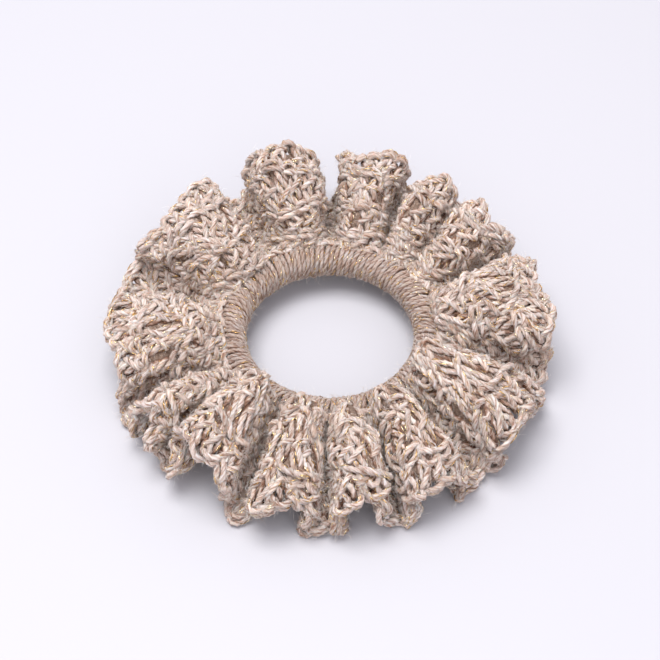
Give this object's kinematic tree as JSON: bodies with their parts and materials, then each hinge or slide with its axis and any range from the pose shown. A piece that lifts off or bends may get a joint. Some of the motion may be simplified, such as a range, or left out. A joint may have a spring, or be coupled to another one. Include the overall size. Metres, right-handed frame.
{
  "type": "crocheted hair scrunchie",
  "caption": "Round hair elastic crocheted over with yarn: a wrapped collar around the hair opening and a deeply gathered ruffle with a chained rim, which stretches to an oval.",
  "frame": {"origin": "centre of the hair opening, in the mid-plane of the elastic", "axes": "+Z along the hair opening, away from the surface that the ruffle rests on; +X is the direction in which the ring is pulled"},
  "size_m": [0.1062, 0.1066, 0.0262],
  "materials": {
    "crochet_yarn": "matte",
    "braided_sleeve": "matte",
    "rubber_core": "matte",
    "joint_sleeve": "satin"
  },
  "bodies": {
    "held_side": {"elastic_core": "rubber_core", "elastic_braid": "braided_sleeve", "elastic_joint": "joint_sleeve", "held_collar": "crochet_yarn", "ruffle_fold_08": "crochet_yarn", "ruffle_fold_09": "crochet_yarn", "ruffle_fold_10": "crochet_yarn", "ruffle_fold_11": "crochet_yarn", "ruffle_fold_12": "crochet_yarn", "ruffle_fold_13": "crochet_yarn"},
    "pulled_side": {"pulled_collar": "crochet_yarn", "ruffle_fold_01": "crochet_yarn", "ruffle_fold_02": "crochet_yarn", "ruffle_fold_03": "crochet_yarn", "ruffle_fold_04": "crochet_yarn", "ruffle_fold_05": "crochet_yarn", "ruffle_fold_06": "crochet_yarn", "ruffle_fold_07": "crochet_yarn"}
  },
  "joints": [
    {"name": "ring_stretch", "type": "slide", "parent": "held_side", "child": "pulled_side", "axis": [1, 0, 0], "range_m": [0, 0.045], "stiffness_N_per_m": 120, "deforming": ["elastic_core", "elastic_braid"]}
  ]
}
